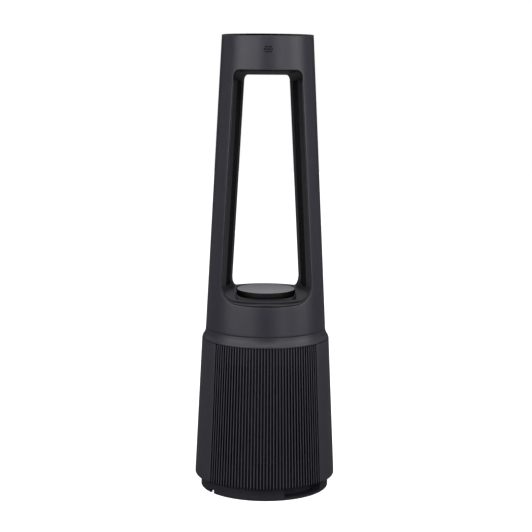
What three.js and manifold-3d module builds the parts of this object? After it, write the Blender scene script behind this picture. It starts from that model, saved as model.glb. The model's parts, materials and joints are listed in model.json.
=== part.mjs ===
// A tower air purifier with a see-through tower: millimetres, +Z up, origin on the floor at the
// middle of the base. The front, with the wider mouth of the tower opening, faces -Y.
import * as THREE from "three";
import { mergeVertices } from "three/addons/utils/BufferGeometryUtils.js";
import Module from "manifold-3d";

const wasm = await Module();
wasm.setup();

// Overall
const totalHeight = 1080;
const gap = 0.3;
const degree = Math.PI / 180;
const outerSides = 48;
const innerSides = 24;

// Base, which stands still
const footHeight = 2.5;
const baseRadius = 153;
const baseBottom = footHeight + gap;
const baseTop = 29;
const baseWall = 3;
const plateRadius = 147;
const plateThickness = 3;
const deckOpening = 84;
const pocket = { from: 17, to: 59, inner: 129, bottom: 7.5, wall: 2.5 };
const notch = { angle: -55, width: 14, height: 11, inner: 139, wall: 2.5 };
const spindleRadius = 15;
const skirtBottom = 0.9; // the outer skirt reaches nearly to the floor
const baseLedge = baseBottom + 6;
const foot = { inner: 118, outer: 134 };
const ballast = { inner: 70, outer: 120, bottom: 6.1, top: 11.5 };
const cordBush = { bore: 2.8, radius: 4.5, hole: 4.8, length: 6, level: 7.6 };
const glide = { inner: 100, outer: 112 };
const powerBoard = { xs: [-116, -76], ys: [-22, 48], bottom: 13, top: 14.6 };
const baseScrew = { circle: 90, radius: 3.4, thickness: 1.2, angles: [35, 125, 215, 305] };

// Swing drive: a fixed gear and a pinion that walks round it
const gearModule = 2.5;
const gearTeeth = 36;
const pinionTeeth = 12;
const gearBottom = 12;
const gearThickness = 6;
const pinionAngle = 150;
const pinionDistance = (gearModule * (gearTeeth + pinionTeeth)) / 2;
const shaftRadius = 3;
const toothTip = { above: 1.7, half: 0.75 };
const toothRoot = { below: 2.6, half: 2.1 };
const swingMotor = { radius: 18, height: 19, earReach: 24, earHalf: 5, earThickness: 2 };
const turntable = { radius: 80, bottom: 21, flange: 4, sleeve: 6 };

// Lower housing and its two ribbed covers
const panBottom = 32;
const panThickness = 4;
const panRadius = 158;
const panRim = 12;
const coverBottom = 31.5;
const coverTop = 363.8;
const coverBottomRadius = 167.7;
const coverSlope = 0.0486;
const coverWall = 3;
const coverEdgeAngle = 89.8;
const ribPitch = 2.65;
const grooveCount = 39;
const grooveDepth = 4;
const ribbedWall = 6;
const slotWidth = 3;
const slotBottom = 94;
const slotTop = 318;
const postTop = 340;
const post = { inner: 126, outer: 144, half: 20, hollowTo: 138, hollowHalf: 16, hollowBottom: 60 };
const magnet = { inner: 144.3, outer: 147.3, half: 9, height: 12, lower: 80, upper: 320 };
const dustSensor = { radius: 133, angle: -63, half: [18, 9], bottom: 200, top: 248, inlet: 5 };
const prefilter = { inset: 0.8, thickness: 1.8, halfAngle: 54, margin: 8 };
const fanDeckTop = 346;

// Filter
const filterBottom = 68;
const filterTop = 312;
const filterRadius = 116;
const filterInner = 84;
const pleatCount = 36;
const pleatDepth = 9;
const carbonWall = 4;
const filterCap = { inner: 79, outer: 119, thickness: 5.4 };
const filterSeal = { inner: 96, outer: 114, height: 8 };
const filterSeat = { inner: 88, outer: 120, legInner: 104, legOuter: 108, thickness: 4 };
const pullTab = { half: 13, front: -119.4, back: -118, bottom: 238, top: 300 };

// Tower
const towerBottom = 389.4;
const towerTopRadius = 107;
const towerSlope = 0.0518;
const towerWall = 3;
const topRim = { land: 3, lip: 9, landDepth: 3.4, lipDepth: 6 };
const shoulder = { inner: 142, sleeveInner: 136, sleeveOuter: 138.6, sleeveTop: 396 };
const sensorHole = { radius: 1.6, pitch: 5.2, level: 1050, rows: [3, 4, 3] };

// Opening through the tower, front to back
const mouthBottom = 463;
const mouthTop = 1005;
const mouthMiddle = 764;
const mouthHalfWidth = 90.3;
const mouthCornerTop = 15;
const mouthCornerBottom = 34;
const linerWall = 2.5;
const ceilingShare = 0.88; // how much of the side inset the ceiling comes down by
// y, side inset and rise of the floor at each station from front to back
const tunnelStations = [
  [-150, 0, -1.5],
  [-88, 0, 7],
  [-38, 9.5, 7],
  [22, 20, 7],
  [60, 25, 7],
  [88, 23.5, 7],
  [150, 22, -1.5],
];
// Half width of the middle that stays as wide as at the mouth, at the floor and at the ceiling
const tunnelCore = { low: 70, high: 20 };
const outlet = { front: -38, back: 22, bottom: 490, top: 976, depth: 21.5, wall: 2.5 };
const outletSlit = { front: -2, back: 12, margin: 12 };

// Guide vanes, which hang on pins in the outlet channels
const vane = { y: -8, beyondWall: 11, wallInset: 14.7, reach: 8, half: 1.1, pin: 2, pinHole: 2.5 };
const vaneMotor = { radius: 7.5, height: 16, above: 4, bore: 2.6 };

// Round display on the floor of the opening
const floorLevel = 470;
const floorPanel = { halfWidth: 70, halfDepth: 88, thickness: 4 };
const displayRadius = 70;
const displayTop = 480.5;
const displayRim = { wall: 1.4, ledge: 4, depth: 2.2 };
const displayBoardRadius = 58;
const boardThickness = 1.6;

// Fan
const fanRadius = 96;
const fanBlades = 7;
const fanEye = 72;
const fanHeight = 40;
const bladeSweep = -38;
const motorRadius = 45;
const motorHeight = 32;
const motorShaft = 4;
const fanDeckReach = 145;
const guard = { inner: 102, outer: 108, hub: 16, thickness: 2.7, spokes: 6, spokeHalf: 1.5 };
const diffuser = { inner: 118, outer: 121, vanes: 7, vaneSweep: 24 };

const finishes = {
  charcoal: { color: 0x3a393e, roughness: 0.45, metalness: 0 },
  ribbed: { color: 0x2c2b30, roughness: 0.5, metalness: 0 },
  base: { color: 0x222126, roughness: 0.55, metalness: 0 },
  gloss: { color: 0x0b0b0d, roughness: 0.1, metalness: 0 },
  dark: { color: 0x17161a, roughness: 0.6, metalness: 0 },
  display: { color: 0x55545a, roughness: 0.15, metalness: 0 },
  paper: { color: 0xe9e7df, roughness: 0.9, metalness: 0 },
  carbon: { color: 0x1b1b1c, roughness: 1, metalness: 0 },
  foam: { color: 0x303236, roughness: 1, metalness: 0 },
  rubber: { color: 0x141416, roughness: 0.9, metalness: 0 },
  acetal: { color: 0xdcdad2, roughness: 0.4, metalness: 0 },
  steel: { color: 0x9a9c9f, roughness: 0.35, metalness: 1 },
  board: { color: 0x1d5a36, roughness: 0.5, metalness: 0 },
};

// ---- Geometry helpers ----

// A closed three.js geometry as a solid whose faces point outwards.
function solidOf(geometry) {
  const bare = geometry.clone();
  bare.deleteAttribute("normal");
  bare.deleteAttribute("uv");
  const merged = mergeVertices(bare, 1e-4);
  const corners = merged.index.array;
  const kept = [];
  for (let i = 0; i < corners.length; i += 3) {
    const [a, b, c] = [corners[i], corners[i + 1], corners[i + 2]];
    if (a !== b && b !== c && a !== c) kept.push(a, b, c);
  }
  const build = (triVerts) =>
    new wasm.Manifold(
      new wasm.Mesh({ numProp: 3, vertProperties: merged.attributes.position.array, triVerts }),
    );
  const made = build(new Uint32Array(kept));
  if (made.volume() > 0) return made;
  return build(new Uint32Array(kept.reverse()));
}

function geometryOf(solid) {
  const { vertProperties, triVerts } = solid.getMesh();
  const geometry = new THREE.BufferGeometry();
  geometry.setAttribute("position", new THREE.BufferAttribute(vertProperties, 3));
  geometry.setIndex(new THREE.BufferAttribute(triVerts, 1));
  geometry.computeVertexNormals();
  return geometry;
}

function box(xs, ys, zs) {
  const geometry = new THREE.BoxGeometry(xs[1] - xs[0], ys[1] - ys[0], zs[1] - zs[0]);
  geometry.translate((xs[0] + xs[1]) / 2, (ys[0] + ys[1]) / 2, (zs[0] + zs[1]) / 2);
  return solidOf(geometry);
}

// A profile of [radius, height] pairs turned about +Z; it closes on itself unless it meets the axis.
function turned(profile, sides = innerSides) {
  const points = profile.map(([r, z]) => new THREE.Vector2(r, z));
  const meetsAxis = profile[0][0] === 0 && profile[profile.length - 1][0] === 0;
  if (!meetsAxis) points.push(points[0].clone());
  return solidOf(new THREE.LatheGeometry(points, sides).rotateX(Math.PI / 2));
}

function ring(inner, outer, bottom, top, sides = innerSides) {
  const profile = [
    [inner, bottom],
    [outer, bottom],
    [outer, top],
    [inner, top],
  ];
  return turned(profile, sides);
}

function rod(radius, bottom, top, [x, y] = [0, 0], sides = 16) {
  const geometry = new THREE.CylinderGeometry(radius, radius, top - bottom, sides);
  geometry.rotateX(Math.PI / 2).translate(x, y, (bottom + top) / 2);
  return solidOf(geometry);
}

// The point at an angle from the front (-Y) towards +X.
function polar(radius, angle) {
  return [radius * Math.sin(angle * degree), -radius * Math.cos(angle * degree)];
}

function prismGeometry(points, bottom, top, holes = []) {
  const shape = new THREE.Shape(points.map(([x, y]) => new THREE.Vector2(x, y)));
  for (const hole of holes) {
    shape.holes.push(new THREE.Path(hole.map(([x, y]) => new THREE.Vector2(x, y))));
  }
  const geometry = new THREE.ExtrudeGeometry(shape, { depth: top - bottom, bevelEnabled: false });
  return geometry.translate(0, 0, bottom);
}

function prism(points, bottom, top, holes = []) {
  return solidOf(prismGeometry(points, bottom, top, holes));
}

function circle(radius, sides) {
  return Array.from({ length: sides }, (_, i) => polar(radius, (360 * i) / sides));
}

// An annular sector between two angles from the front, standing from bottom to top.
function sectorGeometry(inner, outer, from, to, bottom, top, steps) {
  const angles = Array.from({ length: steps + 1 }, (_, i) => from + ((to - from) * i) / steps);
  const outside = angles.map((a) => polar(outer, a));
  const inside = angles.map((a) => polar(inner, a)).reverse();
  return prismGeometry([...outside, ...inside], bottom, top);
}

function sector(inner, outer, from, to, bottom, top, steps = 8) {
  return solidOf(sectorGeometry(inner, outer, from, to, bottom, top, steps));
}

// Moves each vertex radially so that a shape drawn at a reference radius follows a cone.
function followCone(geometry, radiusAt, reference) {
  const position = geometry.attributes.position;
  for (let i = 0; i < position.count; i += 1) {
    const x = position.getX(i);
    const y = position.getY(i);
    const radius = Math.hypot(x, y);
    const moved = (radius + radiusAt(position.getZ(i)) - reference) / radius;
    position.setXY(i, x * moved, y * moved);
  }
  return geometry;
}

function turnedBy(solid, angle) {
  return solid.rotate([0, 0, angle]);
}

const purifier = new THREE.Group();

function piece(name, solid, finish) {
  const mesh = new THREE.Mesh(
    geometryOf(solid),
    new THREE.MeshStandardMaterial(finishes[finish]),
  );
  mesh.name = name;
  purifier.add(mesh);
  return mesh;
}

// ---- Base ----

function notchCut(grow) {
  const wide = notch.width / 2 + grow;
  const block = box([-wide, wide], [-baseRadius - 5, -notch.inner + grow], [-5, notch.height + grow]);
  return turnedBy(block, notch.angle);
}

function pocketCut(grow) {
  const growAngle = (grow / pocket.inner) * (1 / degree);
  return sector(
    pocket.inner - grow,
    baseRadius + 5,
    pocket.from - growAngle,
    pocket.to + growAngle,
    pocket.bottom - grow,
    baseTop + 5,
    10,
  );
}

function makeBase() {
  const skin = turned(
    [
      [plateRadius + gap, skirtBottom],
      [baseRadius - 1.5, skirtBottom],
      [baseRadius, skirtBottom + 1.5],
      [baseRadius, baseTop - 1],
      [baseRadius - 1, baseTop],
      [deckOpening, baseTop],
      [deckOpening, baseTop - baseWall],
      [baseRadius - baseWall, baseTop - baseWall],
      [baseRadius - baseWall, baseLedge],
      [plateRadius + gap, baseLedge],
    ],
    outerSides,
  );
  const inside = ring(pocket.inner - 4, baseRadius - 1.5, baseBottom + plateThickness + gap, baseTop);
  const walls = pocketCut(pocket.wall).add(notchCut(notch.wall)).intersect(inside);
  const hole = new THREE.CylinderGeometry(cordBush.hole, cordBush.hole, 2 * cordBush.length, 12);
  const bushHole = solidOf(hole.translate(0, -notch.inner + 1, cordBush.level));
  const housing = skin.add(walls).subtract(pocketCut(0)).subtract(notchCut(0));
  piece("base_housing", housing.subtract(turnedBy(bushHole, notch.angle)), "base");

  const plate = turned(
    [
      [spindleRadius - 3, baseBottom],
      [plateRadius, baseBottom],
      [plateRadius, baseBottom + plateThickness],
      [spindleRadius + 4, baseBottom + plateThickness],
      [spindleRadius, baseBottom + plateThickness + 4],
      [spindleRadius, panBottom + panThickness + 4],
      [spindleRadius - 3, panBottom + panThickness + 4],
    ],
    36,
  );
  const pocketFloor = sector(pocket.inner - 4, plateRadius + 5, pocket.from - 3, pocket.to + 3, 4.6, 10, 4);
  piece("base_plate", plate.subtract(notchCut(6)).subtract(pocketFloor), "base");
  piece("foot_ring", ring(foot.inner, foot.outer, 0, footHeight, 36), "rubber");
  piece("ballast_ring", ring(ballast.inner, ballast.outer, ballast.bottom, ballast.top), "steel");

  const { bore, radius, length, level } = cordBush;
  const bushProfile = [[bore, 0], [radius, 0], [radius, length], [bore, length], [bore, 0]];
  const bush = new THREE.LatheGeometry(bushProfile.map(([r, h]) => new THREE.Vector2(r, h)), 12);
  bush.translate(0, -notch.inner - 0.5, level);
  piece("cord_bush", turnedBy(solidOf(bush), notch.angle), "rubber");

  piece("glide_ring", ring(glide.inner, glide.outer, baseTop + gap, panBottom - gap), "acetal");

  // The board with its transformer, its relay and two capacitors
  const boardTop = powerBoard.top;
  const board = box(powerBoard.xs, powerBoard.ys, [powerBoard.bottom, boardTop])
    .add(box([-112, -96], [-14, 8], [boardTop - 0.5, 24]))
    .add(box([-90, -80], [-16, 14], [boardTop - 0.5, 20]))
    .add(rod(6, boardTop - 0.5, 25, [-104, 24], 8))
    .add(rod(6, boardTop - 0.5, 25, [-88, 30], 8));
  piece("power_board", board, "board");

  for (const [index, angle] of baseScrew.angles.entries()) {
    const at = polar(baseScrew.circle, angle);
    const head = rod(baseScrew.radius, footHeight - baseScrew.thickness, footHeight, at, 8);
    piece("base_screw_" + (index + 1), head, "steel");
  }
}

// ---- Swing drive ----

// Straight-flanked teeth on a disc; the first tooth points at the given angle.
function gearOutline(teeth, firstAngle) {
  const pitchRadius = (gearModule * teeth) / 2;
  const pitchAngle = 360 / teeth;
  const tip = { radius: pitchRadius + toothTip.above, half: toothTip.half };
  const root = { radius: pitchRadius - toothRoot.below, half: toothRoot.half };
  const points = [];
  for (let tooth = 0; tooth < teeth; tooth += 1) {
    const middle = firstAngle + tooth * pitchAngle;
    for (const [at, side] of [[root, -1], [tip, -1], [tip, 1], [root, 1]]) {
      points.push(polar(at.radius, middle + (side * at.half) / at.radius / degree));
    }
  }
  return points;
}

function makeSwingDrive() {
  const gearTop = gearBottom + gearThickness;
  const bore = circle(spindleRadius + 1, 16);
  const gear = prism(gearOutline(gearTeeth, pinionAngle), gearBottom, gearTop, [bore]);
  piece("ring_gear", gear, "acetal");

  const [x, y] = polar(pinionDistance, pinionAngle);
  const halfTooth = 180 / pinionTeeth;
  const pinion = prism(gearOutline(pinionTeeth, pinionAngle + 180 + halfTooth), gearBottom, gearTop)
    .translate([x, y, 0])
    .add(rod(shaftRadius, gearBottom, panBottom + panThickness + 8, [x, y], 12));
  piece("swing_pinion", pinion, "acetal");

  const motorBottom = panBottom + panThickness + gap;
  const motorBore = rod(shaftRadius + 0.4, motorBottom - 1, panBottom + panThickness + 10, [x, y], 12);
  const { radius, height, earReach, earHalf, earThickness } = swingMotor;
  const ears = box(
    [x - earReach, x + earReach],
    [y - earHalf, y + earHalf],
    [motorBottom, motorBottom + earThickness],
  );
  const motor = rod(radius, motorBottom, motorBottom + height, [x, y], 20).add(ears).subtract(motorBore);
  piece("swing_motor", motor, "steel");

  const hub = spindleRadius + gap;
  const shaftHole = rod(shaftRadius + 2, 0, panBottom + panThickness + 1, [x, y], 12);
  const flangeBottom = panBottom - turntable.flange;
  const carrier = turned([
    [hub, turntable.bottom],
    [hub + turntable.sleeve, turntable.bottom],
    [hub + turntable.sleeve, flangeBottom],
    [turntable.radius, flangeBottom],
    [turntable.radius, panBottom - gap],
    [hub, panBottom - gap],
  ]);
  piece("turntable", carrier.subtract(shaftHole), "dark");

  const pan = turned(
    [
      [hub + 1, panBottom],
      [panRadius, panBottom],
      [panRadius, panBottom + panRim],
      [panRadius - 3, panBottom + panRim],
      [panRadius - 3, panBottom + panThickness],
      [hub + 1, panBottom + panThickness],
    ],
    36,
  );
  piece("chassis_pan", pan.subtract(shaftHole), "base");
}

// ---- Lower housing ----

function coverRadiusAt(z) {
  return coverBottomRadius - coverSlope * (z - coverBottom);
}

// Half of the lower casing: two plain strips with upright ribs between them, and air slots.
function coverSolid() {
  const reference = coverRadiusAt(coverBottom);
  const ribbedHalf = (grooveCount * ribPitch) / 2;
  const outside = [];
  const plainSteps = 6;
  for (let i = 0; i <= plainSteps; i += 1) {
    const angle = -coverEdgeAngle + ((coverEdgeAngle - ribbedHalf - 1) * i) / plainSteps;
    outside.push(polar(reference, angle));
  }
  for (let groove = 0; groove < grooveCount; groove += 1) {
    const middle = (groove - (grooveCount - 1) / 2) * ribPitch;
    const half = ribPitch / 4;
    for (const [side, depth] of [[-1, 0], [-1, grooveDepth], [1, grooveDepth], [1, 0]]) {
      outside.push(polar(reference - depth, middle + side * half));
    }
  }
  for (let i = plainSteps; i >= 0; i -= 1) {
    const angle = coverEdgeAngle - ((coverEdgeAngle - ribbedHalf - 1) * i) / plainSteps;
    outside.push(polar(reference, angle));
  }
  const inside = [];
  const innerSteps = 26;
  for (let i = 0; i <= innerSteps; i += 1) {
    const angle = coverEdgeAngle - (2 * coverEdgeAngle * i) / innerSteps;
    const wall = Math.abs(angle) < ribbedHalf + 4 ? ribbedWall : coverWall;
    inside.push(polar(reference - wall, angle));
  }
  const shell = followCone(
    prismGeometry([...outside, ...inside], coverBottom, coverTop),
    coverRadiusAt,
    reference,
  );
  let cover = solidOf(shell);
  for (let groove = 0; groove < grooveCount; groove += 1) {
    const middle = (groove - (grooveCount - 1) / 2) * ribPitch;
    const slot = box([-slotWidth / 2, slotWidth / 2], [-175, -135], [slotBottom, slotTop]);
    cover = cover.subtract(turnedBy(slot, middle));
  }
  return cover;
}

function prefilterSolid() {
  const reference = coverRadiusAt(coverBottom);
  const outer = reference - ribbedWall - prefilter.inset;
  const panel = sectorGeometry(
    outer - prefilter.thickness,
    outer,
    -prefilter.halfAngle,
    prefilter.halfAngle,
    slotBottom - prefilter.margin,
    slotTop + prefilter.margin,
    20,
  );
  return solidOf(followCone(panel, coverRadiusAt, reference));
}

function makeLowerHousing() {
  const cover = coverSolid();
  const mesh = prefilterSolid();
  piece("front_grille_cover", cover, "ribbed");
  piece("front_prefilter", mesh, "dark");
  piece("rear_grille_cover", turnedBy(cover, 180), "ribbed");
  piece("rear_prefilter", turnedBy(mesh, 180), "dark");

  const standing = panBottom + panThickness + gap;
  const seatTop = filterBottom - 2 * gap - filterCap.thickness;
  const seatBottom = seatTop - filterSeat.thickness;
  const seat = turned([
    [filterSeat.legInner, standing],
    [filterSeat.legOuter, standing],
    [filterSeat.legOuter, seatBottom],
    [filterSeat.outer, seatBottom],
    [filterSeat.outer, seatTop],
    [filterSeat.inner, seatTop],
    [filterSeat.inner, seatBottom],
    [filterSeat.legInner, seatBottom],
  ]);
  piece("filter_seat", seat, "dark");

  for (const [side, sign] of [["left", -1], ["right", 1]]) {
    const across = (from, to) => [from * sign, to * sign].sort((a, b) => a - b);
    const body = box(across(post.inner, post.outer), [-post.half, post.half], [standing, postTop]);
    const hollow = box(
      across(post.inner - 1, post.hollowTo),
      [-post.hollowHalf, post.hollowHalf],
      [post.hollowBottom, postTop - 12],
    );
    piece("side_post_" + side, body.subtract(hollow), "dark");
    for (const level of ["lower", "upper"]) {
      const zs = [magnet[level], magnet[level] + magnet.height];
      const block = box(across(magnet.inner, magnet.outer), [-magnet.half, magnet.half], zs);
      piece("cover_magnet_" + side + "_" + level, block, "steel");
    }
  }

  const { angle, bottom, top, inlet } = dustSensor;
  const [halfX, halfY] = dustSensor.half;
  const sensor = box([-halfX, halfX], [-halfY, halfY], [bottom, top])
    .subtract(rod(inlet, top - 8, top + 12, [0, 0], 10));
  const sensorPlace = [...polar(dustSensor.radius, angle), 0];
  piece("dust_sensor", turnedBy(sensor, angle).translate(sensorPlace), "dark");
}

// ---- Filter ----

function makeFilter() {
  const folds = Array.from({ length: 2 * pleatCount }, (_, i) => {
    const radius = i % 2 ? filterRadius : filterRadius - pleatDepth;
    return polar(radius, (180 * i) / pleatCount);
  });
  piece("pleated_filter", prism(folds, filterBottom, filterTop, [circle(filterInner, 24)]), "paper");
  const carbonRadius = filterInner - 1;
  const carbon = ring(carbonRadius - carbonWall, carbonRadius, filterBottom, filterTop, 24);
  piece("carbon_layer", carbon, "carbon");
  const cap = (bottom) => ring(filterCap.inner, filterCap.outer, bottom, bottom + filterCap.thickness);
  piece("filter_bottom_cap", cap(filterBottom - gap - filterCap.thickness), "dark");
  piece("filter_top_cap", cap(filterTop + gap), "dark");
  const sealBottom = filterTop + 2 * gap + filterCap.thickness;
  const seal = ring(filterSeal.inner, filterSeal.outer, sealBottom, sealBottom + filterSeal.height);
  piece("filter_seal", seal, "foam");
  const tab = box(
    [-pullTab.half, pullTab.half],
    [pullTab.front, pullTab.back],
    [pullTab.bottom, pullTab.top],
  );
  piece("filter_pull_tab", tab, "rubber");
}

// ---- Fan ----

function bladeOutline(inner, outer, sweep, thickness) {
  const steps = 2;
  const edge = (shift) =>
    Array.from({ length: steps + 1 }, (_, i) => {
      const radius = inner + ((outer - inner) * i) / steps;
      const angle = (sweep * i) / steps + shift / radius / degree;
      return polar(radius, angle);
    });
  return [...edge(-thickness / 2), ...edge(thickness / 2).reverse()];
}

function makeFan() {
  const deck = ring(fanRadius + 6, fanDeckReach, postTop + gap, fanDeckTop, 36);
  piece("fan_deck", deck, "dark");

  const guardTop = postTop - gap;
  const guardLevel = [guardTop - guard.thickness, guardTop];
  let grille = ring(guard.inner, guard.outer, ...guardLevel).add(rod(guard.hub, ...guardLevel));
  const spoke = box(
    [-guard.spokeHalf, guard.spokeHalf],
    [-guard.inner - 2, -guard.hub + 2],
    guardLevel,
  );
  for (let i = 0; i < guard.spokes; i += 1) {
    grille = grille.add(turnedBy(spoke, (360 * i) / guard.spokes));
  }
  piece("inlet_guard", grille, "dark");

  // A flared ring that leads the air into the eye of the fan
  const bellmouth = turned([
    [112, fanDeckTop + gap],
    [118, fanDeckTop + gap],
    [118, fanDeckTop + 3],
    [108, fanDeckTop + 4],
    [101, fanDeckTop + 9],
    [100, fanDeckTop + 16],
    [98, fanDeckTop + 16],
    [98.5, fanDeckTop + 8],
    [104, fanDeckTop + 2],
  ]);
  piece("inlet_bellmouth", bellmouth, "dark");

  const fanBottom = fanDeckTop + 18;
  const fanTop = fanBottom + fanHeight;
  const blade = prism(bladeOutline(22, fanRadius, bladeSweep, 2.4), fanBottom, fanTop);
  const envelope = turned([
    [0, fanBottom + 4],
    [70, fanBottom],
    [fanRadius, fanBottom],
    [fanRadius, fanTop],
    [0, fanTop],
  ]);
  const hub = turned([
    [0, fanBottom + 6],
    [20, fanBottom + 8],
    [40, fanTop - 12],
    [fanRadius, fanTop - 3],
    [fanRadius, fanTop],
    [0, fanTop],
  ]);
  const shroud = turned([
    [fanEye, fanBottom - 3],
    [fanRadius, fanBottom],
    [fanRadius, fanBottom + 3],
    [fanEye, fanBottom],
  ]);
  let impeller = hub.add(shroud);
  for (let i = 0; i < fanBlades; i += 1) {
    impeller = impeller.add(turnedBy(blade, (360 * i) / fanBlades).intersect(envelope));
  }
  const motorBottom = fanTop + 4;
  const motorTop = motorBottom + motorHeight;
  const shaft = rod(motorShaft, fanTop - 2, motorTop - 6, [0, 0], 12);
  piece("fan_impeller", impeller.add(shaft), "dark");

  const motor = turned([
    [0, motorTop - 4],
    [motorShaft + 0.5, motorTop - 4],
    [motorShaft + 0.5, motorBottom],
    [motorRadius, motorBottom],
    [motorRadius, motorTop - 6],
    [motorRadius - 6, motorTop],
    [0, motorTop],
  ]);
  piece("fan_motor", motor, "steel");

  const motorCollar = ring(motorRadius + 1, motorRadius + 3.5, motorBottom - 1, motorTop + 2);
  const outerRing = ring(diffuser.inner, diffuser.outer, fanBottom - 6, motorTop + 4, 32);
  let stator = outerRing.add(motorCollar);
  const vaneReach = diffuser.inner + 1.5;
  const statorVane = prism(
    bladeOutline(motorRadius + 2, vaneReach, diffuser.vaneSweep, 2),
    motorBottom,
    motorTop,
  );
  for (let i = 0; i < diffuser.vanes; i += 1) {
    stator = stator.add(turnedBy(statorVane, (360 * i) / diffuser.vanes));
  }
  piece("air_diffuser", stator, "dark");
}

// ---- Tower ----

function towerRadiusAt(z) {
  return towerTopRadius + towerSlope * (totalHeight - z);
}

function mouthHalfWidthAt(z) {
  return mouthHalfWidth + towerSlope * (mouthMiddle - z);
}

function mouthShape() {
  const low = mouthBottom + mouthCornerBottom;
  const high = mouthTop - mouthCornerTop;
  const lowX = mouthHalfWidthAt(low) - mouthCornerBottom;
  const highX = mouthHalfWidthAt(high) - mouthCornerTop;
  const shape = new THREE.Shape();
  shape.absarc(lowX, low, mouthCornerBottom, -Math.PI / 2, 0);
  shape.absarc(highX, high, mouthCornerTop, 0, Math.PI / 2);
  shape.absarc(-highX, high, mouthCornerTop, Math.PI / 2, Math.PI);
  shape.absarc(-lowX, low, mouthCornerBottom, Math.PI, 1.5 * Math.PI);
  return shape;
}

// The space of the opening, which narrows towards the back, grown outwards by grow.
function tunnel(grow) {
  const last = tunnelStations.length - 1;
  const geometry = new THREE.ExtrudeGeometry(mouthShape(), {
    depth: last,
    steps: last,
    curveSegments: 3,
    bevelEnabled: false,
  });
  const position = geometry.attributes.position;
  for (let i = 0; i < position.count; i += 1) {
    const [y, inset, rise] = tunnelStations[Math.round(position.getZ(i))];
    const x = position.getX(i);
    const z = position.getY(i);
    const share = (z - mouthBottom) / (mouthTop - mouthBottom);
    const half = mouthHalfWidthAt(z);
    const core = tunnelCore.low + (tunnelCore.high - tunnelCore.low) * share;
    const narrowed = core + ((Math.abs(x) - core) * (half - inset + grow - core)) / (half - core);
    const bottom = mouthBottom + rise - grow;
    const top = mouthTop - ceilingShare * inset + grow;
    const moved = Math.abs(x) > core ? narrowed * Math.sign(x) : x;
    position.setXYZ(i, moved, y, bottom + (top - bottom) * share);
  }
  return solidOf(geometry);
}

function towerCone(shrink) {
  const low = towerBottom;
  return turned(
    [
      [0, low],
      [towerRadiusAt(low) - shrink, low],
      [towerRadiusAt(totalHeight) - shrink, totalHeight],
      [0, totalHeight],
    ],
    outerSides,
  );
}

function makeTower() {
  const skin = turned(
    [
      [towerRadiusAt(towerBottom), towerBottom],
      [towerRadiusAt(totalHeight - 1), totalHeight - 1],
      [towerTopRadius - 1, totalHeight],
      [towerTopRadius - topRim.land, totalHeight],
      [towerTopRadius - topRim.land, totalHeight - topRim.landDepth],
      [towerTopRadius - topRim.lip, totalHeight - topRim.landDepth],
      [towerTopRadius - topRim.lip, totalHeight - topRim.lipDepth],
      [towerTopRadius - towerWall, totalHeight - topRim.lipDepth],
      [towerRadiusAt(towerBottom) - towerWall, towerBottom],
    ],
    outerSides,
  );
  const cut = tunnel(linerWall + gap);
  const half = [-200, 200];
  const heights = [0, totalHeight + 10];
  const walls = skin.subtract(cut);
  const front = walls.intersect(box(half, [-200, -gap / 2], heights));
  const rear = walls.intersect(box(half, [gap / 2, 200], heights));
  piece("tower_front_shell", front.subtract(sensorHoles()), "charcoal");
  piece("tower_rear_shell", rear, "charcoal");

  const floorBox = (grow) =>
    box(
      [-floorPanel.halfWidth - grow, floorPanel.halfWidth + grow],
      [-floorPanel.halfDepth - grow, floorPanel.halfDepth + grow],
      [floorLevel - floorPanel.thickness - grow, floorLevel + (grow > 0 ? 2 : 0)],
    );
  const insideTunnel = tunnel(0);
  const window = box([-200, 200], [outlet.front, outlet.back], [outlet.bottom, outlet.top]);
  const liner = tunnel(linerWall)
    .subtract(insideTunnel)
    .intersect(towerCone(0))
    .subtract(window)
    .subtract(floorBox(gap));
  piece("tunnel_liner", liner, "charcoal");
  piece("floor_panel", floorBox(0), "gloss");

  const channelRing = tunnel(outlet.depth + outlet.wall).subtract(tunnel(linerWall + gap));
  const channelHollow = tunnel(outlet.depth);
  const slit = box(
    [-200, 200],
    [outletSlit.front, outletSlit.back],
    [outlet.bottom + outletSlit.margin, outlet.top - outletSlit.margin],
  );
  const tilt = Math.atan(towerSlope) / degree;
  for (const [side, sign] of [["left", -1], ["right", 1]]) {
    const sideXs = sign < 0 ? [-200, 0] : [0, 200];
    const w = outlet.wall;
    const outerBox = box(sideXs, [outlet.front - w, outlet.back + w], [outlet.bottom - w, outlet.top + w]);
    const innerBox = box([-200, 200], [outlet.front, outlet.back], [outlet.bottom, outlet.top]);
    const pivot = vanePivot(sign);
    const pinHole = rod(vane.pinHole, -8, 8, [0, 0], 10).rotate([0, -sign * tilt, 0]);
    const holes = [outlet.bottom, outlet.top].map((z) => pinHole.translate(pivot(z)));
    const channel = channelRing
      .intersect(outerBox)
      .subtract(channelHollow.intersect(innerBox))
      .subtract(slit)
      .subtract(holes[0])
      .subtract(holes[1]);
    piece("outlet_channel_" + side, channel, "dark");
    makeVane(side, sign, pivot, tilt);
  }
}

// The place of a guide vane's axis at a height.
function vanePivot(sign) {
  return (z) => [sign * (mouthHalfWidthAt(z) - vane.wallInset + vane.beyondWall), vane.y, z];
}

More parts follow.
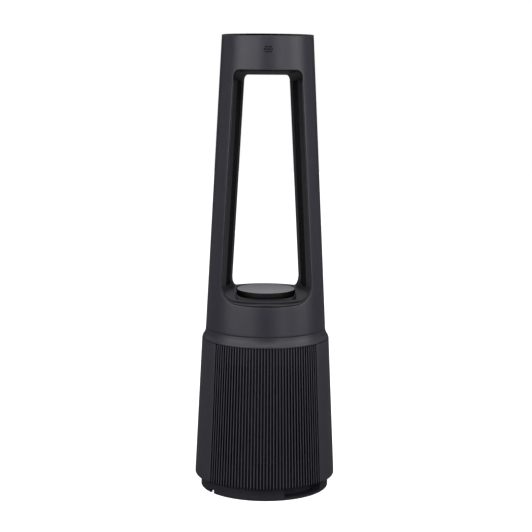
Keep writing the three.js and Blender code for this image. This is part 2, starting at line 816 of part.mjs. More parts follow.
function makeVane(side, sign, pivot, tilt) {
  const middle = (outlet.bottom + outlet.top) / 2;
  const half = (outlet.top - outlet.bottom) / 2;
  const shoulderY = vane.reach - 3;
  const front = [[-vane.half, -shoulderY], [0, -vane.reach], [vane.half, -shoulderY]];
  const back = [[vane.half, shoulderY], [0, vane.reach], [-vane.half, shoulderY]];
  const pin = rod(vane.pin, -half - 2, half + 2, [0, 0], 10);
  const blade = piece("guide_vane_" + side, prism([...front, ...back], 3 - half, half - 3).add(pin), "dark");
  blade.position.set(...pivot(middle));
  blade.rotation.y = -sign * tilt * degree;

  const pinBore = rod(vaneMotor.bore, -1, 4, [0, 0], 8);
  const body = rod(vaneMotor.radius, 0, vaneMotor.height, [0, 0], 12).subtract(pinBore);
  const motor = piece("vane_motor_" + side, body, "steel");
  motor.position.set(...pivot(outlet.top + vaneMotor.above));
  motor.rotation.y = blade.rotation.y;
}

// Ten small holes in three rows, in front of the room sensor.
function sensorHoles() {
  const { radius, pitch, level, rows } = sensorHole;
  const holes = [];
  for (const [row, count] of rows.entries()) {
    for (let i = 0; i < count; i += 1) {
      const geometry = new THREE.CylinderGeometry(radius, radius, 20, 6);
      geometry.translate((i - (count - 1) / 2) * pitch, -towerTopRadius, level + (row - 1) * pitch);
      holes.push(solidOf(geometry));
    }
  }
  return holes.reduce((all, hole) => all.add(hole));
}

function makeShoulderAndTop() {
  const casing = turned(
    [
      [142.9, towerBottom - 0.8],
      [143.4, 382.5],
      [146.3, 374],
      [149.5, 369],
      [151.4, coverTop + 0.9],
      [fanDeckReach, coverTop + 0.9],
      [fanDeckReach, fanDeckTop + gap],
      [shoulder.inner, fanDeckTop + gap],
      [shoulder.inner, 368],
      [shoulder.sleeveInner, 376],
      [shoulder.sleeveInner, shoulder.sleeveTop],
      [shoulder.sleeveOuter, shoulder.sleeveTop],
      [shoulder.sleeveOuter, towerBottom - 0.8],
    ],
    36,
  );
  piece("shoulder_ring", casing, "charcoal");
  const capRadius = towerTopRadius - topRim.land - gap;
  const cap = rod(capRadius, totalHeight - topRim.landDepth + gap, totalHeight - 0.6, [0, 0], outerSides);
  piece("top_cap", cap, "gloss");
}

// ---- Display and electronics ----

function makeElectronics() {
  const drum = turned(
    [
      [displayRadius - displayRim.ledge, floorLevel + gap],
      [displayRadius, floorLevel + gap],
      [displayRadius, displayTop],
      [displayRadius - displayRim.wall, displayTop],
      [displayRadius - displayRim.wall, displayTop - displayRim.depth],
      [displayRadius - displayRim.ledge, displayTop - displayRim.depth],
    ],
    36,
  );
  piece("display_drum", drum, "dark");
  const glassBottom = displayTop - displayRim.depth + gap;
  const glassRadius = displayRadius - displayRim.wall - gap;
  piece("display_disc", rod(glassRadius, glassBottom, displayTop - 0.1, [0, 0], 36), "display");
  const boardBottom = floorLevel + 2.5;
  const displayBoard = rod(displayBoardRadius, boardBottom, boardBottom + boardThickness, [0, 0], 16);
  piece("display_board", displayBoard, "board");

  const sensorZs = [sensorHole.level - 8, sensorHole.level + 8];
  piece("sensor_board", box([-20, 20], [-100, -100 + boardThickness], sensorZs), "board");
  // The board with a processor and a radio module
  const control = box([-55, 55], [28, 28 + boardThickness], [1012, 1064])
    .add(box([-30, -10], [18, 28.5], [1030, 1050]))
    .add(box([12, 34], [22, 28.5], [1020, 1040]));
  piece("control_board", control, "board");
}

makeBase();
makeSwingDrive();
makeLowerHousing();
makeFilter();
makeFan();
makeShoulderAndTop();
makeTower();
makeElectronics();

export default purifier;
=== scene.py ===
import bisect
import json
import math

import bmesh
import bpy
from mathutils import Matrix, Vector


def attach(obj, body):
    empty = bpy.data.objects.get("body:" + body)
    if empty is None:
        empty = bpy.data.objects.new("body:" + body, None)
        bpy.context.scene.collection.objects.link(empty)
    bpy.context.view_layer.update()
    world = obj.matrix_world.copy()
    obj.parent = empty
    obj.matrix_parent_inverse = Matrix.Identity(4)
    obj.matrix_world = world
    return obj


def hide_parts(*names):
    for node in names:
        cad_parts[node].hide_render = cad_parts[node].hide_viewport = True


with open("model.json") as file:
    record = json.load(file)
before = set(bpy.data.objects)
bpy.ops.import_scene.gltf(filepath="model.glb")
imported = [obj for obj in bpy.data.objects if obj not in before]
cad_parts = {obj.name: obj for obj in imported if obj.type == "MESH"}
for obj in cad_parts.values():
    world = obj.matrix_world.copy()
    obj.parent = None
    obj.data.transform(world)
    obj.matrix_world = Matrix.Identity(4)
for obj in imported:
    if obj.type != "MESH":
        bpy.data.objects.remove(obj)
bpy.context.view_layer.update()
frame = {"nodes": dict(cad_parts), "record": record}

# ---- The object's own sizes, in millimetres, as the CAD model has them ----

tower = {"bottom": 389.4, "top": 1080, "topRadius": 107, "slope": 0.0518, "wall": 3}
mouth = {"bottom": 463, "top": 1005, "middle": 764, "halfWidth": 90.3}
mouthCorner = {"bottom": 34, "top": 15}
sideWindow = {"front": -38, "rear": 22, "bottom": 483.8, "top": 988.5}
floorRise = 7
# y, how far the sides stand in, and how far the floor rises, from front to back
stations = [
    (-150, 0, -1.5),
    (-88, 0, floorRise),
    (sideWindow["front"], 9.5, floorRise),
    (sideWindow["rear"], 20, floorRise),
    (60, 25, floorRise),
    (88, 23.5, floorRise),
    (150, 22, -1.5),
]
cover = {"bottom": 31.5, "top": 363.8, "bottomRadius": 167.7, "slope": 0.0486}
# The pitch is in degrees round the axis.
ribs = {"pitch": 2.65, "grooves": 39, "depth": 4}


# ---- Shape helpers ----


# The point at an angle in degrees from the front (-Y) towards +X.
def around(radius, angle, z):
    turn = math.radians(angle)
    return Vector((radius * math.sin(turn), -radius * math.cos(turn), z))


def mix(a, b, share):
    return a + (b - a) * share


# A closed outline of (x, z, radius) corners with each corner rounded.
def rounded(corners, steps=5):
    points = []
    for index, (x, z, radius) in enumerate(corners):
        here = Vector((x, z))
        before = Vector(corners[index - 1][:2])
        after = Vector(corners[(index + 1) % len(corners)][:2])
        back = (before - here).normalized()
        forth = (after - here).normalized()
        opening = back.angle(forth)
        if radius <= 0 or opening > 3.1:
            points.append(here)
            continue
        reach = radius / math.tan(opening / 2)
        middle = here + (back + forth).normalized() * radius / math.sin(opening / 2)
        start = here + back * reach - middle
        end = here + forth * reach - middle
        for step in range(steps + 1):
            ray = start.lerp(end, step / steps).normalized()
            points.append(middle + ray * radius)
    return points


def closeUp(bm, distance=1e-4):
    bmesh.ops.remove_doubles(bm, verts=bm.verts[:], dist=distance)
    bmesh.ops.recalc_face_normals(bm, faces=bm.faces[:])
    return bm


# A closed outline of (radius, z) points turned about the object's axis.
def lathe(points, steps=160):
    bm = bmesh.new()
    corners = [bm.verts.new(around(r, 0, z)) for r, z in points]
    for first, second in zip(corners, corners[1:] + corners[:1]):
        bm.edges.new((first, second))
    bmesh.ops.spin(
        bm,
        geom=bm.verts[:] + bm.edges[:],
        cent=(0, 0, 0),
        axis=(0, 0, 1),
        angle=math.tau,
        steps=steps,
        use_merge=True,
    )
    return closeUp(bm)


# A grid whose vertex at each column and row is put in its place; closed ways join up on themselves.
def placedGrid(columns, rows, place, keep=None):
    bm = bmesh.new()
    bmesh.ops.create_grid(bm, x_segments=columns, y_segments=rows, size=1)

    def cell(co):
        return (co.x + 1) / 2 * columns, (co.y + 1) / 2 * rows

    if keep:
        gone = [f for f in bm.faces if not keep(*map(int, cell(f.calc_center_median())))]
        bmesh.ops.delete(bm, geom=gone, context="FACES")
    columnLayer = bm.verts.layers.int.new("column")
    rowLayer = bm.verts.layers.int.new("row")
    for vert in bm.verts:
        vert[columnLayer], vert[rowLayer] = map(round, cell(vert.co))
        vert.co = place(vert[columnLayer], vert[rowLayer], 0)
    bmesh.ops.remove_doubles(bm, verts=bm.verts[:], dist=1e-4)
    return bm


# The same grid with a second layer, walls included, as a closed shell.
def shellGrid(columns, rows, place, keep=None):
    bm = placedGrid(columns, rows, place, keep)
    columnLayer = bm.verts.layers.int["column"]
    rowLayer = bm.verts.layers.int["row"]
    made = bmesh.ops.extrude_face_region(bm, geom=bm.faces[:])
    for vert in made["geom"]:
        if isinstance(vert, bmesh.types.BMVert):
            vert.co = place(vert[columnLayer], vert[rowLayer], 1)
    bmesh.ops.recalc_face_normals(bm, faces=bm.faces[:])
    return bm


def bevelEdges(bm, chosen, offset, segments=3):
    edges = [edge for edge in bm.edges if chosen(edge)]
    rounding = {"segments": segments, "profile": 0.5, "affect": "EDGES", "material": -1}
    bmesh.ops.bevel(bm, geom=edges, offset=offset, **rounding)


def boxShape(low, high, bevel=0):
    bm = bmesh.new()
    bmesh.ops.create_cube(bm, size=1)
    middle = (Vector(low) + Vector(high)) / 2
    size = Vector(high) - Vector(low)
    for vert in bm.verts:
        vert.co = middle + Vector(share * side for share, side in zip(vert.co, size))
    if bevel:
        bevelEdges(bm, lambda edge: True, bevel)
    return bm


# A mesh object in metres from a shape in millimetres.
def meshObject(name, bm):
    bm.transform(Matrix.Scale(0.001, 4))
    mesh = bpy.data.meshes.new(name)
    bm.to_mesh(mesh)
    bm.free()
    obj = bpy.data.objects.new(name, mesh)
    bpy.context.scene.collection.objects.link(obj)
    return obj


# Turns what the modifiers make into the object's own mesh.
def keepResult(obj):
    graph = bpy.context.evaluated_depsgraph_get()
    mesh = bpy.data.meshes.new_from_object(obj.evaluated_get(graph))
    obj.modifiers.clear()
    obj.data = mesh


def combine(obj, other, operation):
    modifier = obj.modifiers.new("combine", "BOOLEAN")
    modifier.operation = operation
    modifier.solver = "EXACT"
    modifier.object = other
    keepResult(obj)
    bpy.data.objects.remove(other)


# Rounds every edge of a mesh that is sharper than 50 degrees.
def easeEdges(obj, width, segments):
    bevel = obj.modifiers.new("edges", "BEVEL")
    bevel.width = width / 1000
    bevel.segments = segments
    bevel.limit_method = "ANGLE"
    bevel.angle_limit = math.radians(50)
    keepResult(obj)


# Gives a finished piece its finish, smooth shading and body, and hides the CAD nodes that it stands for.
def settle(obj, body, nodes, finish, sharpAngle=35):
    mesh = obj.data
    mesh.materials.clear()
    mesh.materials.append(finishes[finish])
    mesh.shade_smooth()
    mesh.set_sharp_from_angle(angle=math.radians(sharpAngle))
    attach(obj, body)
    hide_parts(*nodes)


# ---- Material helpers ----


# A colour as six hex digits in sRGB, as the linear values that shaders take.
def linear(hexDigits):
    channels = [int(hexDigits[i : i + 2], 16) / 255 for i in (0, 2, 4)]
    curve = [c / 12.92 if c <= 0.04045 else ((c + 0.055) / 1.055) ** 2.4 for c in channels]
    return (*curve, 1)


# Adds a node; a value that is another node's output is linked, and any other is set.
def addNode(tree, kind, values=None, **settings):
    node = tree.nodes.new("ShaderNode" + kind)
    for key, value in settings.items():
        setattr(node, key, value)
    for key, value in (values or {}).items():
        if isinstance(value, bpy.types.NodeSocket):
            tree.links.new(value, node.inputs[key])
        else:
            node.inputs[key].default_value = value
    return node


# Texture scale for a pattern whose marks are that many millimetres across.
def perMark(size):
    return 1000 / size


def calculate(tree, operation, a, b=0.0):
    return addNode(tree, "Math", {0: a, 1: b}, operation=operation).outputs[0]


def newFinish(name):
    material = bpy.data.materials.new(name)
    material.use_nodes = True
    tree = material.node_tree
    shader = tree.nodes["Principled BSDF"]
    place = addNode(tree, "TexCoord").outputs["Object"]
    return material, tree, shader, place


def noise(tree, place, size, detail=2.0, roughness=0.5):
    values = {"Vector": place, "Scale": perMark(size), "Detail": detail, "Roughness": roughness}
    return addNode(tree, "TexNoise", values).outputs["Fac"]


def spread(tree, value, low, high, fromLow=0.3, fromHigh=0.7):
    values = {0: value, 1: fromLow, 2: fromHigh, 3: low, 4: high}
    return addNode(tree, "MapRange", values).outputs[0]


# Inputs 6 and 7 and output 2 are the mix node's colour sockets.
def mixColours(tree, factor, first, second):
    values = {0: factor, 6: first, 7: second}
    return addNode(tree, "Mix", values, data_type="RGBA").outputs[2]


def recolour(tree, shader, colour):
    tree.links.new(colour, shader.inputs["Base Color"])


# A relief that many millimetres deep, from heights between 0 and 1.
def emboss(tree, shader, height, depth):
    values = {"Height": height, "Distance": depth / 1000, "Strength": 1.0}
    bump = addNode(tree, "Bump", values).outputs["Normal"]
    tree.links.new(bump, shader.inputs["Normal"])


# The common base of most finishes: patchy colour, uneven gloss and a fine relief, all in millimetres.
def surface(name, look):
    material, tree, shader, place = newFinish(name)
    patches = noise(tree, place, look["patch"], 3.0)
    share = spread(tree, patches, 0.0, 1.0)
    colour = mixColours(tree, share, linear(look["colour"]), linear(look["second"]))
    recolour(tree, shader, colour)
    wearSize = look["patch"] * 0.37
    wear = noise(tree, place, wearSize, 4.0, 0.6)
    tree.links.new(spread(tree, wear, *look["gloss"]), shader.inputs["Roughness"])
    emboss(tree, shader, noise(tree, place, look["grain"], 2.0, 0.6), look["relief"])
    shader.inputs["Specular IOR Level"].default_value = look.get("shine", 0.5)
    shader.inputs["Metallic"].default_value = look.get("metal", 0.0)
    return material, tree, shader, place, colour


# ---- Finishes ----

finishes = {}

# Fine spark-eroded texture, satin: long soft highlights, with no grain that can be counted.
charcoalLook = {
    "colour": "302e36",
    "second": "333139",
    "patch": 60,
    "gloss": (0.36, 0.42),
    "grain": 0.6,
    "relief": 0.012,
    "shine": 0.5,
}
finishes["charcoal_plastic"] = surface("texturedCharcoalPlastic", charcoalLook)[0]

# The same moulding texture, a little coarser, on the ribbed covers.
coverLook = {
    "colour": "34333a",
    "second": "37363d",
    # Painted shade: the colour of the groove floors.
    "groove": "100f12",
    "grooveDepth": (0.3, 1.5),
    # Painted highlight: the colour of the rib crests.
    "crest": "4b4a52",
    "ribbedTo": 0.787,
    "ribbedEase": 0.004,
    "grooveShine": 0.2,
    "patch": 45,
    "gloss": (0.4, 0.48),
    "grain": 0.7,
    "relief": 0.016,
    "shine": 0.5,
}


# Painted shade: the grooves are coloured darker, and made less shiny, by their depth under the cone of
# the rib
# crests. Painted highlight: the rib crests are coloured lighter on the ribbed part, which ends where the
# sine of the angle from the front reaches ribbedTo.
def makeCoverFinish(look):
    material, tree, shader, place, colour = surface("texturedCoverPlastic", look)
    parts = addNode(tree, "SeparateXYZ", {0: place}).outputs
    flat = addNode(tree, "CombineXYZ", {"X": parts["X"], "Y": parts["Y"]}).outputs["Vector"]
    radius = addNode(tree, "VectorMath", {0: flat}, operation="LENGTH").outputs["Value"]
    fall = calculate(tree, "MULTIPLY", parts["Z"], cover["slope"])
    crest = (cover["bottomRadius"] + cover["slope"] * cover["bottom"]) / 1000
    depth = calculate(tree, "SUBTRACT", crest, calculate(tree, "ADD", radius, fall))
    low, high = (value / 1000 for value in look["grooveDepth"])
    share = spread(tree, depth, 0.0, 1.0, low, high)
    side = calculate(tree, "DIVIDE", calculate(tree, "ABSOLUTE", parts["X"]), radius)
    ribbed = spread(tree, side, 1.0, 0.0, look["ribbedTo"] - look["ribbedEase"], look["ribbedTo"])
    crests = mixColours(tree, ribbed, colour, linear(look["crest"]))
    recolour(tree, shader, mixColours(tree, share, crests, linear(look["groove"])))
    shine = spread(tree, share, look["shine"], look["grooveShine"])
    tree.links.new(shine, shader.inputs["Specular IOR Level"])
    return material


finishes["cover_plastic"] = makeCoverFinish(coverLook)

# The walls of the opening: painted shade, coloured darker and made smoother than the same plastic on the
# tower round them.
openingLook = {
    "colour": "17161b",
    "second": "1a191e",
    "patch": 50,
    "gloss": (0.33, 0.37),
    "grain": 0.6,
    "relief": 0.01,
    "shine": 0.42,
    # Where the front of the ceiling is painted darker, as painted shade.
    "ceiling": (968, 982),
    "ceilingBack": (40, 85),
    "paintedCeilingShade": "08080a",
    "ceilingShine": 0.1,
}


# Painted shade: the front of the ceiling is coloured darker and made duller still, so that its curve
# catches little light.
def makeOpeningFinish(look):
    material, tree, shader, place, colour = surface("paintedShadeOpeningPlastic", look)
    parts = addNode(tree, "SeparateXYZ", {0: place}).outputs
    low, high = (value / 1000 for value in look["ceiling"])
    front, back = (value / 1000 for value in look["ceilingBack"])
    raised = spread(tree, parts["Z"], 0.0, 1.0, low, high)
    forward = spread(tree, parts["Y"], 1.0, 0.0, front, back)
    share = calculate(tree, "MULTIPLY", raised, forward)
    recolour(tree, shader, mixColours(tree, share, colour, linear(look["paintedCeilingShade"])))
    shine = spread(tree, share, look["shine"], look["ceilingShine"])
    tree.links.new(shine, shader.inputs["Specular IOR Level"])
    return material


finishes["opening_plastic"] = makeOpeningFinish(openingLook)

# Plain matt moulding, darker than what stands on it.
baseLook = {
    "colour": "28272c",
    "second": "2b2a2f",
    "patch": 35,
    "gloss": (0.5, 0.6),
    "grain": 0.9,
    "relief": 0.02,
    "shine": 0.35,
}
finishes["base_plastic"] = surface("mattBasePlastic", baseLook)[0]

# Polished black with a trace of wipe marks: a clear mirror of the lamps.
glossLook = {
    "colour": "050506",
    "second": "070708",
    "patch": 25,
    "gloss": (0.05, 0.09),
    "grain": 9,
    "relief": 0.01,
    "shine": 0.5,
}
finishes["gloss_black"] = surface("polishedBlackPlastic", glossLook)[0]

# Grey display window, unlit, with no marks on it: its pale colour is a painted reflection of the bright
# backdrop seen at a low angle.
glassLook = {
    "colour": "a8a7ab",
    "second": "adacb0",
    "patch": 40,
    "gloss": (0.2, 0.26),
    "grain": 12,
    "relief": 0.004,
    "shine": 0.5,
}
finishes["display_glass"] = surface("paintedReflectionDisplayWindow", glassLook)[0]

# Unseen structural mouldings: matt, nearly black, with faint flow marks.
innerLook = {
    "colour": "0b0b0d",
    "second": "0f0f11",
    "patch": 30,
    "gloss": (0.55, 0.7),
    "grain": 1.2,
    "relief": 0.03,
    "shine": 0.3,
}
finishes["inner_plastic"] = surface("mattInnerPlastic", innerLook)[0]

# Soft rubber: dull and dusty in patches.
rubberLook = {
    "colour": "0c0c0d",
    "second": "161617",
    "patch": 12,
    "gloss": (0.75, 0.9),
    "grain": 0.8,
    "relief": 0.05,
    "shine": 0.3,
}
finishes["rubber"] = surface("softRubber", rubberLook)[0]

# Natural acetal: waxy off-white with cutter marks.
acetalLook = {
    "colour": "cfccc2",
    "second": "dedbd2",
    "patch": 15,
    "gloss": (0.3, 0.42),
    "grain": 1.5,
    "relief": 0.02,
}
finishes["acetal"] = surface("naturalAcetal", acetalLook)[0]

# Zinc-plated steel: fine directionless scratches and a slight blue-yellow drift.
steelLook = {
    "colour": "9a9da3",
    "second": "a8a69b",
    "patch": 14,
    "gloss": (0.25, 0.42),
    "grain": 0.5,
    "relief": 0.01,
    "metal": 1.0,
}
finishes["steel"] = surface("zincPlatedSteel", steelLook)[0]


# Woven nylon: the holes between threads are painted near-black, painted shade for the gaps, on a pattern
# that follows the panel round the axis.
meshLook = {
    "colour": "161519",
    "second": "1a191d",
    # Painted shade: the colour of the holes.
    "hole": "010102",
    "pitch": 4.4,
    "radius": 157,
    "threadEdge": (0.6, 0.9),
    "threadRelief": 0.4,
    "patch": 20,
    "gloss": (0.45, 0.6),
    "grain": 0.4,
    "relief": 0.02,
}


def makeMesh(look):
    material, tree, shader, place, colour = surface("wovenNylonMesh", look)
    parts = addNode(tree, "SeparateXYZ", {0: place}).outputs
    angle = calculate(tree, "ARCTAN2", parts["X"], parts["Y"])
    turnsPer = math.tau / (look["pitch"] / 1000)
    across = calculate(tree, "SINE", calculate(tree, "MULTIPLY", angle, turnsPer * look["radius"] / 1000))
    along = calculate(tree, "SINE", calculate(tree, "MULTIPLY", parts["Z"], turnsPer))
    threads = calculate(tree, "MAXIMUM", across, along)
    thread = spread(tree, threads, 0.0, 1.0, *look["threadEdge"])
    recolour(tree, shader, mixColours(tree, thread, linear(look["hole"]), colour))
    emboss(tree, shader, thread, look["threadRelief"])
    return material


finishes["nylon_mesh"] = makeMesh(meshLook)

# Pressed filter paper: matt, fibrous, with faint grey soiling between the folds.
paperLook = {
    "colour": "dcd9cf",
    "second": "eae8e1",
    "patch": 18,
    "gloss": (0.85, 0.95),
    "grain": 0.5,
    "relief": 0.08,
    "shine": 0.2,
}
finishes["filter_paper"] = surface("pressedFilterPaper", paperLook)[0]


# Loose carbon fleece: black granules held in dull fibre.
fleeceLook = {
    "colour": "0d0d0e",
    "second": "1c1c1d",
    "patch": 5,
    "gloss": (0.8, 0.95),
    "grain": 0.8,
    "relief": 0.2,
    "granule": 2.2,
    "cell": "050505",
    "cellEdge": (0.2, 0.6),
    "shine": 0.2,
}


def makeCells(name, look):
    material, tree, shader, place, colour = surface(name, look)
    values = {"Vector": place, "Scale": perMark(look["granule"])}
    cells = addNode(tree, "TexVoronoi", values).outputs["Distance"]
    edge = spread(tree, cells, 1.0, 0.0, *look["cellEdge"])
    recolour(tree, shader, mixColours(tree, edge, linear(look["cell"]), colour))
    emboss(tree, shader, edge, look["relief"])
    return material


finishes["carbon_fleece"] = makeCells("carbonFleece", fleeceLook)

# Open-cell sealing foam: dark, dead matt and pitted.
foamLook = {
    "colour": "26272a",
    "second": "303136",
    "patch": 8,
    "gloss": (0.85, 0.95),
    "grain": 0.6,
    "relief": 0.25,
    "granule": 1.1,
    "cell": "131315",
    "cellEdge": (0.2, 0.6),
    "shine": 0.2,
}
finishes["seal_foam"] = makeCells("openCellFoam", foamLook)


# Green solder mask with paler copper tracks under it and tinned pads.
boardLook = {
    "colour": "12472a",
    "second": "155232",
    "track": "1f6a41",
    "pad": "b9bbb6",
    "trackPitch": 3.2,
    "padPitch": 5,
    "trackEdge": (0.03, 0.1),
    "padEdge": (0.14, 0.17),
    "padRandomness": 0.2,
    "patch": 20,
    "gloss": (0.25, 0.35),
    "grain": 1.0,
    "relief": 0.01,
}


def makeBoard(look):
    material, tree, shader, place, colour = surface("greenCircuitBoard", look)
    values = {"Vector": place, "Scale": perMark(look["trackPitch"])}
    cells = addNode(tree, "TexVoronoi", values, feature="DISTANCE_TO_EDGE").outputs["Distance"]
    tracks = spread(tree, cells, 1.0, 0.0, *look["trackEdge"])
    tracked = mixColours(tree, tracks, colour, linear(look["track"]))
    values = {"Vector": place, "Scale": perMark(look["padPitch"]), "Randomness": look["padRandomness"]}
    dots = addNode(tree, "TexVoronoi", values).outputs["Distance"]
    pads = spread(tree, dots, 1.0, 0.0, *look["padEdge"])
    recolour(tree, shader, mixColours(tree, pads, tracked, linear(look["pad"])))
    tree.links.new(pads, shader.inputs["Metallic"])
    return material


finishes["circuit_board"] = makeBoard(boardLook)

# Every CAD node gets the finish of its slot; the pieces made below take the place of some of them.
for part in frame["record"]["subparts"]:
    mesh = frame["nodes"][part["node"]].data
    mesh.materials.clear()
    mesh.materials.append(finishes[part["material_slot"]])
print("finishes made:", len(finishes))


# ---- The opening through the tower ----


# The ceiling starts lower than the outline says, and comes down by a share of the side inset.
ceilingLook = {"drop": 4.5, "share": 0.675}
# Half the width in the middle of the floor and of the ceiling that the side inset leaves alone.
coreHalf = {"floor": 70, "ceiling": 20}


def towerRadius(z):
    return tower["topRadius"] + tower["slope"] * (tower["top"] - z)


def mouthHalfWidth(z):
    return mouth["halfWidth"] + tower["slope"] * (mouth["middle"] - z)


def stationAt(y):
    ys = [s[0] for s in stations]
    index = min(max(bisect.bisect_right(ys, y), 1), len(ys) - 1)
    (y0, inset0, rise0), (y1, inset1, rise1) = stations[index - 1], stations[index]
    share = (y - y0) / (y1 - y0)
    return mix(inset0, inset1, share), mix(rise0, rise1, share)


# Side inset and floor rise at a depth, with the bends between stations eased.
def easedStation(y, ease=9):
    samples = [stationAt(y + ease * step / 4) for step in range(-4, 5)]
    return [sum(values) / len(samples) for values in zip(*samples)]


# Where an outline point of the front mouth lies at a depth, grown outwards. Its floor is level
# where it is flat, and falls towards each mouth where it isn't.
def tunnelPoint(x, z, y, grow, flat=0):
    inset, rise = easedStation(y)
    rise = mix(rise, floorRise, flat)
    share = (z - mouth["bottom"]) / (mouth["top"] - mouth["bottom"])
    half = mouthHalfWidth(z)
    core = mix(coreHalf["floor"], coreHalf["ceiling"], share)
    low = mouth["bottom"] + rise - grow
    high = mouth["top"] - ceilingLook["drop"] - ceilingLook["share"] * inset + grow
    if abs(x) > core:
        moved = core + (abs(x) - core) * (half - inset + grow - core) / (half - core)
        x = math.copysign(moved, x)
    return x, mix(low, high, share)


# The same point where it meets the tower's surface, or a depth under it.
def tunnelAtTower(x, z, side, grow, under, flat=0):
    firstGuess = 120
    y = firstGuess * side
    for _ in range(12):
        foundX, foundZ = tunnelPoint(x, z, y, grow, flat)
        radius = towerRadius(foundZ) - under
        y = side * math.sqrt(max(radius**2 - foundX**2, 1))
    return foundX, y, foundZ


# The mouth's outline from the middle of its floor, anticlockwise seen from the front.
outlineLook = {"cornerSteps": 14, "sideSteps": 40, "floorSteps": 28, "ceilingSteps": 24}


def mouthOutline(look):
    low = mouth["bottom"] + mouthCorner["bottom"]
    high = mouth["top"] - mouthCorner["top"]
    lowX = mouthHalfWidth(low) - mouthCorner["bottom"]
    highX = mouthHalfWidth(high) - mouthCorner["top"]
    half = look["floorSteps"] // 2
    right = [(lowX * step / half, mouth["bottom"]) for step in range(half)]
    for step in range(look["cornerSteps"] + 1):
        turn = math.pi / 2 * step / look["cornerSteps"]
        reach = mouthCorner["bottom"]
        right.append((lowX + reach * math.sin(turn), low - reach * math.cos(turn)))
    for step in range(1, look["sideSteps"]):
        z = mix(low, high, step / look["sideSteps"])
        right.append((mouthHalfWidth(z), z))
    for step in range(look["cornerSteps"] + 1):
        turn = math.pi / 2 * step / look["cornerSteps"]
        reach = mouthCorner["top"]
        right.append((highX + reach * math.cos(turn), high + reach * math.sin(turn)))
    half = look["ceilingSteps"] // 2
    right += [(highX * (half - step) / half, mouth["top"]) for step in range(1, half + 1)]
    # The nearest points are moved onto the ends of the side windows.
    for level in (sideWindow["bottom"], sideWindow["top"]):
        index = min(range(len(right)), key=lambda i: abs(right[i][1] - level))
        right[index] = (right[index][0], level)
    left = [(-x, z) for x, z in right[-2:0:-1]]
    return right + left


outline = mouthOutline(outlineLook)


# How much a point of the outline belongs to the floor: none up the sides, all at the bottom.
def floorShare(z):
    return min(max((mouth["bottom"] + mouthCorner["bottom"] - z) / mouthCorner["bottom"], 0), 1)


# The lip is the rounding at each mouth: wide along the floor, and slight up the sides.
linerLook = {"wall": 2.5, "lip": 1.3, "floorLip": 8.2, "floorWall": 9.4, "windowEdge": 1.1}
# The stretches of the tunnel from front to back, and the rows of faces along each.
linerParts = {"front": 14, "beforeWindow": 8, "window": 8, "afterWindow": 8, "rear": 14}
# The end stretches stop at a share of the way from the mouth to the window, or where the panel ends.
panelEnd = {"depth": 88.3, "share": 0.4}
panelEdge = {"top": 475, "halfWidth": 71.5}
aside = 50


def makeLiner(look):
    wall = look["wall"]
    turnSteps = 6
    # Steps round the edge at each mouth: shares of the turn, then depths of the outer wall's end.
    edge = [("turn", step / turnSteps) for step in range(turnSteps + 1)]
    edge += [("wall", 0.3), ("wall", 0.9)]
    along = []
    for part, steps in linerParts.items():
        along += [(part, step / steps) for step in range(1, steps + 1)]
    along.pop()
    path = [(-1, *step) for step in reversed(edge)]
    path += [("inner", *step) for step in along]
    path += [(1, *step) for step in edge]
    path += [("outer", *step) for step in reversed(along)]

    def lipAt(z):
        return mix(look["lip"], look["floorLip"], floorShare(z))

    spans = []
    for x, z in outline:
        front, rear = (tunnelAtTower(x, z, side, 0, lipAt(z), 1)[1] for side in (-1, 1))
        before = max(-panelEnd["depth"], mix(front, sideWindow["front"], panelEnd["share"]))
        after = min(panelEnd["depth"], mix(rear, sideWindow["rear"], panelEnd["share"]))
        ends = (front, before, sideWindow["front"], sideWindow["rear"], after, rear)
        spans.append(dict(zip(linerParts, zip(ends, ends[1:]))))

    def place(column, row, layer):
        column %= len(outline)
        x, z = outline[column]
        kind, part, share = path[row % len(path)]
        if part == "wall":
            return Vector(tunnelAtTower(x, z, kind, wall, share))
        if part == "turn":
            turn = share * math.pi / 2
            thick = mix(wall, look["floorWall"], floorShare(z))
            through = lipAt(z) * (1 - math.cos(turn)) / thick
            under = lipAt(z) * (1 - math.sin(turn))
            return Vector(tunnelAtTower(x, z, kind, wall * through, under, 1 - through))
        y = mix(*spans[column][part], share)
        grow, flat = (0, 1) if kind == "inner" else (wall, 0)
        foundX, foundZ = tunnelPoint(x, z, y, grow, flat)
        return Vector((foundX, y, foundZ))

    # The side windows and the place of the floor panel are left out of both layers.
    def keep(column, row):
        here = path[row]
        after = path[(row + 1) % len(path)]
        part = after[1] if here[0] == "inner" else here[1]
        first = outline[column][1]
        second = outline[(column + 1) % len(outline)][1]
        inWindow = part == "window" and sideWindow["bottom"] < (first + second) / 2 < sideWindow["top"]
        onFloor = first == second == mouth["bottom"]
        return not (inWindow or onFloor and part in ("beforeWindow", "window", "afterWindow"))

    def middle(edge):
        return (edge.verts[0].co + edge.verts[1].co) / 2

    def atPanel(edge):
        return middle(edge).z < panelEdge["top"] and abs(middle(edge).x) < panelEdge["halfWidth"]

    # The two layers are joined round each hole: the left window, the right window and the panel.
    holes = (
        lambda edge: middle(edge).x < -aside and not atPanel(edge),
        lambda edge: middle(edge).x > aside and not atPanel(edge),
        atPanel,
    )
    bm = placedGrid(len(outline), len(path), place, keep)
    bmesh.ops.recalc_face_normals(bm, faces=bm.faces[:])
    for chosen in holes:
        edges = [edge for edge in bm.edges if edge.is_boundary and chosen(edge)]
        bmesh.ops.bridge_loops(bm, edges=edges)
    bmesh.ops.recalc_face_normals(bm, faces=bm.faces[:])
    obj = meshObject("tunnelLiner", bm)
    easeEdges(obj, look["windowEdge"], 3)
    settle(obj, "housing", ["tunnel_liner"], "opening_plastic", 50)


makeLiner(linerLook)
print("liner made")


# ---- Tower shells ----

